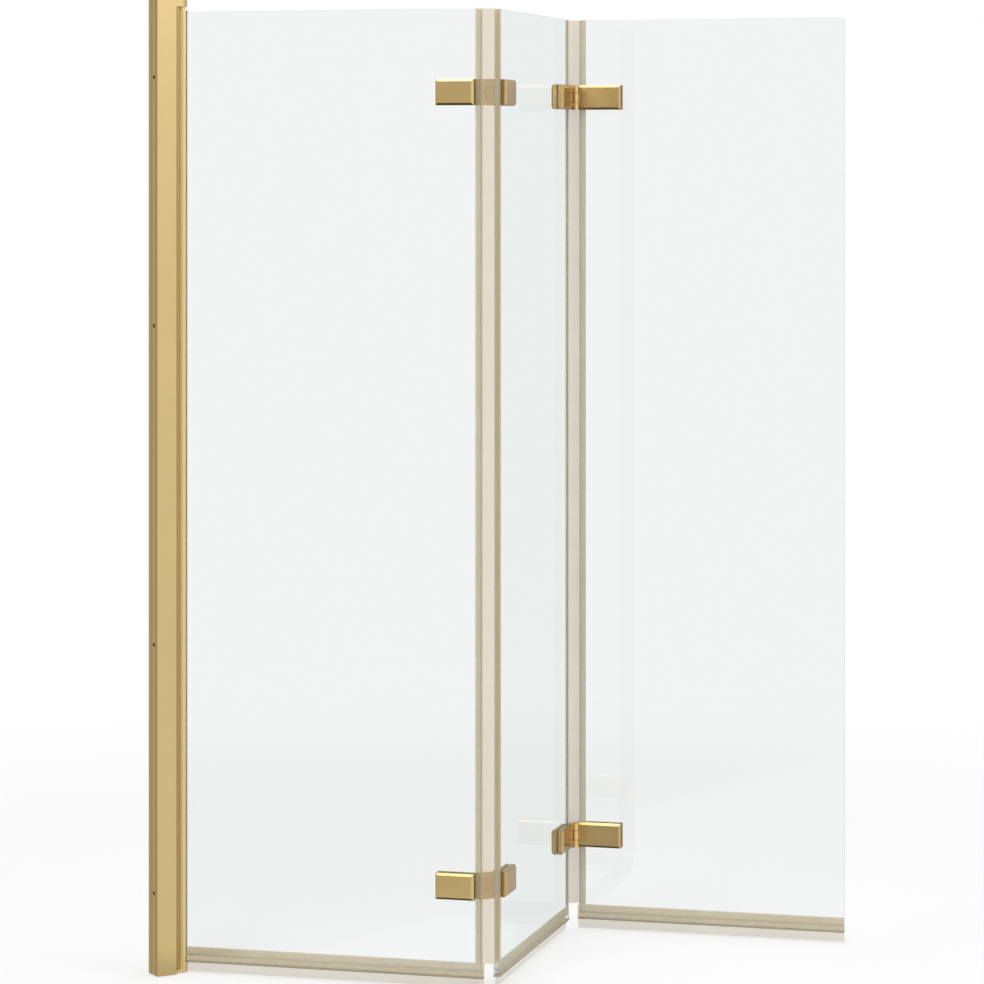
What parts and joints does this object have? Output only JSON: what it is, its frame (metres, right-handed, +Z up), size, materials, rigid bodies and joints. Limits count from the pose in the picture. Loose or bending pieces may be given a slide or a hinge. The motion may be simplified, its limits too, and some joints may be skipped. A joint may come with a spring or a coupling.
{
  "type": "folding bath screen",
  "caption": "Folding shower screen for a bath: a wall profile with a swivel pivot carries clear glass panels joined by folding clamp hinges, with translucent seals.",
  "frame": {"origin": "on the wall plane at the bath rim, in the middle of the wall profile's back: the bottom of its back face", "axes": "+X out of the wall, +Z up, +Y along the wall away from the side on which the first panel stands"},
  "size_m": [0.988, 0.3419, 1.4],
  "materials": {
    "gold_aluminium": "satin gold anodised extrusion",
    "gold_brass": "brushed gold plate",
    "clear_glass": "clear toughened glass with polished edges",
    "translucent_seal": "champagne tinted soft PVC, translucent",
    "stainless_steel": "plain stainless steel",
    "nylon": "natural moulded plastic"
  },
  "bodies": {
    "wall": {"wall_channel": "gold_aluminium", "adjusting_profile": "gold_aluminium", "adjusting_screws": "gold_aluminium", "top_cap": "gold_aluminium", "bottom_bracket": "gold_aluminium", "end_screws": "stainless_steel", "bottom_pivot_pin": "stainless_steel", "thrust_washer": "nylon"},
    "panel_1": {"swivel_profile": "gold_aluminium", "top_pivot_plug": "gold_aluminium", "bottom_pivot_plug": "gold_aluminium", "glazing_gasket": "nylon", "glass_panel_1": "clear_glass", "bottom_seal_1": "translucent_seal", "fold_1_clip_panel_1": "translucent_seal", "upper_hinge_1_leaf_panel_1": "gold_brass", "lower_hinge_1_leaf_panel_1": "gold_brass", "upper_hinge_1_clamp_panel_1": "stainless_steel", "lower_hinge_1_clamp_panel_1": "stainless_steel", "upper_hinge_1_cover_panel_1": "gold_brass", "lower_hinge_1_cover_panel_1": "gold_brass", "hinge_pads_panel_1": "nylon", "clamp_screws_panel_1": "stainless_steel", "hinge_1_pins": "stainless_steel", "fold_1_web": "translucent_seal"},
    "panel_2": {"glass_panel_2": "clear_glass", "bottom_seal_2": "translucent_seal", "fold_1_clip_panel_2": "translucent_seal", "fold_2_clip_panel_2": "translucent_seal", "upper_hinge_1_leaf_panel_2": "gold_brass", "lower_hinge_1_leaf_panel_2": "gold_brass", "upper_hinge_2_leaf_panel_2": "gold_brass", "lower_hinge_2_leaf_panel_2": "gold_brass", "upper_hinge_1_clamp_panel_2": "stainless_steel", "lower_hinge_1_clamp_panel_2": "stainless_steel", "upper_hinge_2_clamp_panel_2": "stainless_steel", "lower_hinge_2_clamp_panel_2": "stainless_steel", "upper_hinge_1_cover_panel_2": "gold_brass", "lower_hinge_1_cover_panel_2": "gold_brass", "upper_hinge_2_cover_panel_2": "gold_brass", "lower_hinge_2_cover_panel_2": "gold_brass", "hinge_pads_panel_2": "nylon", "clamp_screws_panel_2": "stainless_steel", "hinge_1_bushes": "nylon", "hinge_2_pins": "stainless_steel", "fold_2_web": "translucent_seal"},
    "panel_3": {"glass_panel_3": "clear_glass", "bottom_seal_3": "translucent_seal", "fold_2_clip_panel_3": "translucent_seal", "upper_hinge_2_leaf_panel_3": "gold_brass", "lower_hinge_2_leaf_panel_3": "gold_brass", "upper_hinge_2_clamp_panel_3": "stainless_steel", "lower_hinge_2_clamp_panel_3": "stainless_steel", "upper_hinge_2_cover_panel_3": "gold_brass", "lower_hinge_2_cover_panel_3": "gold_brass", "hinge_pads_panel_3": "nylon", "clamp_screws_panel_3": "stainless_steel", "hinge_2_bushes": "nylon"}
  },
  "joints": [
    {"name": "wall_pivot", "type": "hinge", "parent": "wall", "child": "panel_1", "pos_m": [0.046, 0, 0], "axis": [0, 0, 1], "range_deg": [-43, 45]},
    {"name": "fold_1", "type": "hinge", "parent": "panel_1", "child": "panel_2", "pos_m": [0.37332, -0.30766, 0], "axis": [0, 0, 1], "range_deg": [-90, 90], "deforming": ["fold_1_web"]},
    {"name": "fold_2", "type": "hinge", "parent": "panel_2", "child": "panel_3", "pos_m": [0.68572, -0.03458, 0], "axis": [0, 0, 1], "range_deg": [-90, 90], "deforming": ["fold_2_web"]}
  ]
}
